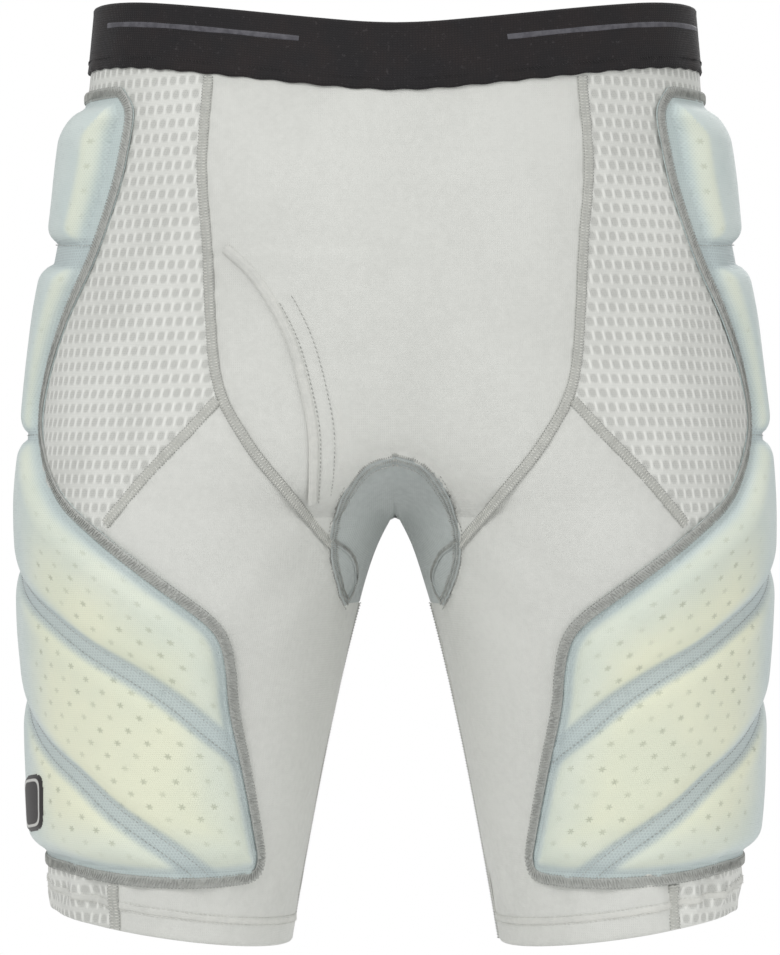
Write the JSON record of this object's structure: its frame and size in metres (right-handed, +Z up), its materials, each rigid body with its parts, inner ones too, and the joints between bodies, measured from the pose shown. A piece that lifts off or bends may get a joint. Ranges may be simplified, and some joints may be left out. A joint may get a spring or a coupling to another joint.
{
  "type": "padded impact shorts",
  "caption": "Close-fitting stretch shorts with foam pads sewn in mesh pockets over hips, thighs and tailbone, to soften falls.",
  "frame": {"origin": "middle of the waist opening, at the height of the waistband's front edge", "axes": "+Z up along the body, -Y is the wearer's front, +X is the wearer's left"},
  "size_m": [0.4234, 0.2441, 0.5176],
  "materials": {
    "band_elastic": "ribbed woven elastic",
    "band_stripe": "woven stripe",
    "dark_thread": "stitching",
    "stretch_knit": "smooth stretch knit",
    "bubble_mesh": "open bubble mesh",
    "cover_mesh": "fine see-through mesh",
    "lining_mesh": "fine mesh",
    "foam": "perforated soft foam",
    "gusset_knit": "brushed knit",
    "grey_binding": "folded binding",
    "grey_thread": "flatlock stitching",
    "badge_patch": "moulded matt patch"
  },
  "bodies": {
    "pelvis": {"waistband": "band_elastic", "waistband_stitching": "dark_thread", "front_panel": "stretch_knit", "back_panel": "stretch_knit", "fly_binding": "grey_binding", "fly_underlay": "stretch_knit", "gusset": "gusset_knit", "gusset_seam": "grey_thread", "tailbone_foam": "foam", "tailbone_cover": "cover_mesh", "tailbone_seam": "grey_thread", "left_waistband_stripe": "band_stripe", "left_side_mesh": "bubble_mesh", "left_front_seam": "grey_thread", "left_back_seam": "grey_thread", "left_diagonal_seam": "grey_thread", "left_hip_foam_upper": "foam", "left_hip_foam_lower": "foam", "left_hip_cover": "cover_mesh", "left_hip_lining": "lining_mesh", "left_hip_cover_seam": "grey_thread", "right_waistband_stripe": "band_stripe", "right_side_mesh": "bubble_mesh", "right_front_seam": "grey_thread", "right_back_seam": "grey_thread", "right_diagonal_seam": "grey_thread", "right_hip_foam_upper": "foam", "right_hip_foam_lower": "foam", "right_hip_cover": "cover_mesh", "right_hip_lining": "lining_mesh", "right_hip_cover_seam": "grey_thread"},
    "left_leg": {"left_thigh_front": "stretch_knit", "left_thigh_back": "stretch_knit", "left_hem": "stretch_knit", "left_hem_stitching": "grey_thread", "left_inseam": "grey_thread", "left_thigh_foam_upper": "foam", "left_thigh_foam_middle": "foam", "left_thigh_foam_lower": "foam", "left_thigh_cover": "cover_mesh", "left_thigh_lining": "lining_mesh", "left_thigh_cover_seam": "grey_thread"},
    "right_leg": {"right_thigh_front": "stretch_knit", "right_thigh_back": "stretch_knit", "right_hem": "stretch_knit", "right_hem_stitching": "grey_thread", "right_inseam": "grey_thread", "right_thigh_foam_upper": "foam", "right_thigh_foam_middle": "foam", "right_thigh_foam_lower": "foam", "right_thigh_cover": "cover_mesh", "right_thigh_lining": "lining_mesh", "right_thigh_cover_seam": "grey_thread", "badge": "badge_patch"}
  },
  "joints": [
    {"name": "left_hip", "type": "hinge", "parent": "pelvis", "child": "left_leg", "pos_m": [0.1, 0, -0.165], "axis": [-1, 0, 0], "range_deg": [-15, 45], "deforming": ["left_side_mesh", "left_thigh_front", "left_thigh_back"]},
    {"name": "right_hip", "type": "hinge", "parent": "pelvis", "child": "right_leg", "pos_m": [-0.1, 0, -0.165], "axis": [-1, 0, 0], "range_deg": [-15, 45], "deforming": ["right_side_mesh", "right_thigh_front", "right_thigh_back"]}
  ]
}
